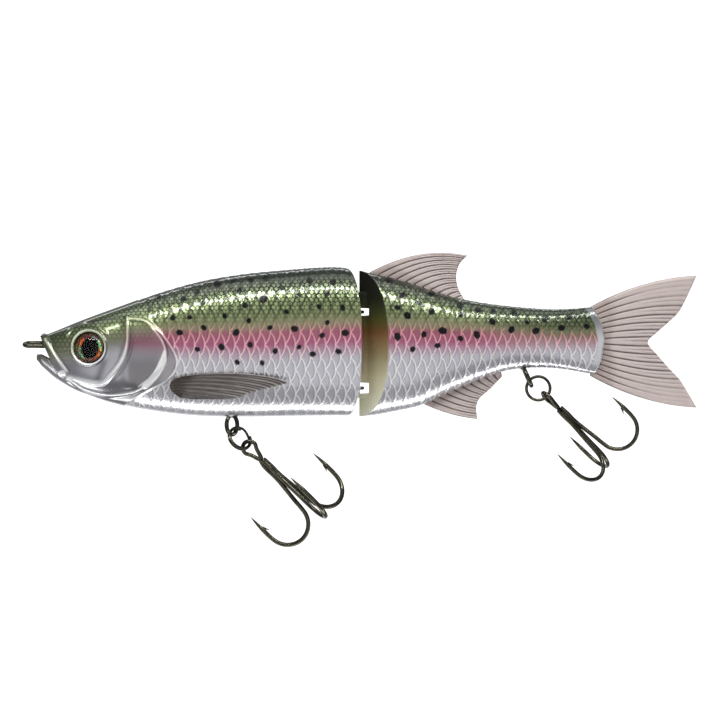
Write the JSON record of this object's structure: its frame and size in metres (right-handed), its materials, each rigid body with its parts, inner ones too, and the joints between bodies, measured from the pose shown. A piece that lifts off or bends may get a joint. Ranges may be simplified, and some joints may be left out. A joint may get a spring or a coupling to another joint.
{
  "type": "jointed swimbait",
  "caption": "Two-piece jointed trout-shaped hard swimbait with a vertical V-hinge, soft fins, a wire line tie, and treble hooks on split rings that hang from swivelling eyes",
  "frame": {"origin": "centre of the line tie's loop, in the lure's middle plane", "axes": "+X from the line tie to the tail, +Z the back, -Y the fish's left side"},
  "size_m": [0.1828, 0.0288, 0.0798],
  "materials": {
    "painted_shell": "chrome paint with scales, under clear lacquer",
    "eye_foil": "holographic foil",
    "eye_resin": "clear, domed",
    "pale_soft_fin": "translucent soft plastic",
    "dark_soft_fin": "translucent soft plastic",
    "black_nickel": "polished black nickel",
    "bright_steel": "drawn wire",
    "barrel_brass": "turned"
  },
  "bodies": {
    "front_segment": {"front_shell_left": "painted_shell", "front_shell_right": "painted_shell", "eye_disc_left": "eye_foil", "eye_disc_right": "eye_foil", "eye_lens_left": "eye_resin", "eye_lens_right": "eye_resin", "pectoral_fin_left": "dark_soft_fin", "pectoral_fin_right": "dark_soft_fin", "line_tie": "black_nickel", "upper_hinge_eye": "bright_steel", "lower_hinge_eye": "bright_steel", "front_ballast_ball_1": "bright_steel", "front_ballast_ball_2": "bright_steel", "front_ballast_ball_3": "bright_steel", "front_hanger_barrel": "barrel_brass"},
    "rear_segment": {"rear_shell_left": "painted_shell", "rear_shell_right": "painted_shell", "hinge_pin": "bright_steel", "dorsal_fin": "pale_soft_fin", "anal_fin": "pale_soft_fin", "rear_ballast_ball_1": "bright_steel", "rear_ballast_ball_2": "bright_steel", "rear_hanger_barrel": "barrel_brass"},
    "tail": {"tail_fin": "pale_soft_fin"},
    "front_hanger": {"front_hanger_eye": "black_nickel"},
    "front_ring": {"front_split_ring": "black_nickel"},
    "front_treble": {"front_treble_eyed_hook": "black_nickel", "front_treble_twin_hooks": "black_nickel"},
    "rear_hanger": {"rear_hanger_eye": "black_nickel"},
    "rear_ring": {"rear_split_ring": "black_nickel"},
    "rear_treble": {"rear_treble_eyed_hook": "black_nickel", "rear_treble_twin_hooks": "black_nickel"}
  },
  "joints": [
    {"name": "body_hinge", "type": "hinge", "parent": "front_segment", "child": "rear_segment", "pos_m": [0.0886, 0, 0], "axis": [0, 0, 1], "range_deg": [-32, 32]},
    {"name": "tail_flex", "type": "hinge", "parent": "rear_segment", "child": "tail", "pos_m": [0.153, 0, 0], "axis": [0, 0, 1], "range_deg": [-15, 15], "stiffness_Nm_per_rad": 0.01},
    {"name": "front_hanger_swivel", "type": "hinge", "parent": "front_segment", "child": "front_hanger", "pos_m": [0.0545, 0, -0.0218], "axis": [0, 0, -1], "continuous": true},
    {"name": "front_ring_swing", "type": "hinge", "parent": "front_hanger", "child": "front_ring", "pos_m": [0.05525, -0.00107, -0.02405], "axis": [0.4956, -0.7071, 0.5043], "range_deg": [-60, 5]},
    {"name": "front_treble_swing", "type": "hinge", "parent": "front_ring", "child": "front_treble", "pos_m": [0.05895, -0.00107, -0.02768], "axis": [0.4956, 0.7071, 0.5043], "range_deg": [-30, 10]},
    {"name": "rear_hanger_swivel", "type": "hinge", "parent": "rear_segment", "child": "rear_hanger", "pos_m": [0.1346, 0, -0.0088], "axis": [0.4067, 0, -0.9136], "continuous": true},
    {"name": "rear_ring_swing", "type": "hinge", "parent": "rear_hanger", "child": "rear_ring", "pos_m": [0.13566, 0, -0.01118], "axis": [0, -1, 0], "range_deg": [-50, 0]},
    {"name": "rear_treble_swing", "type": "hinge", "parent": "rear_ring", "child": "rear_treble", "pos_m": [0.13979, 0, -0.01413], "axis": [0.7009, 0, 0.7133], "range_deg": [-22, 22]}
  ]
}
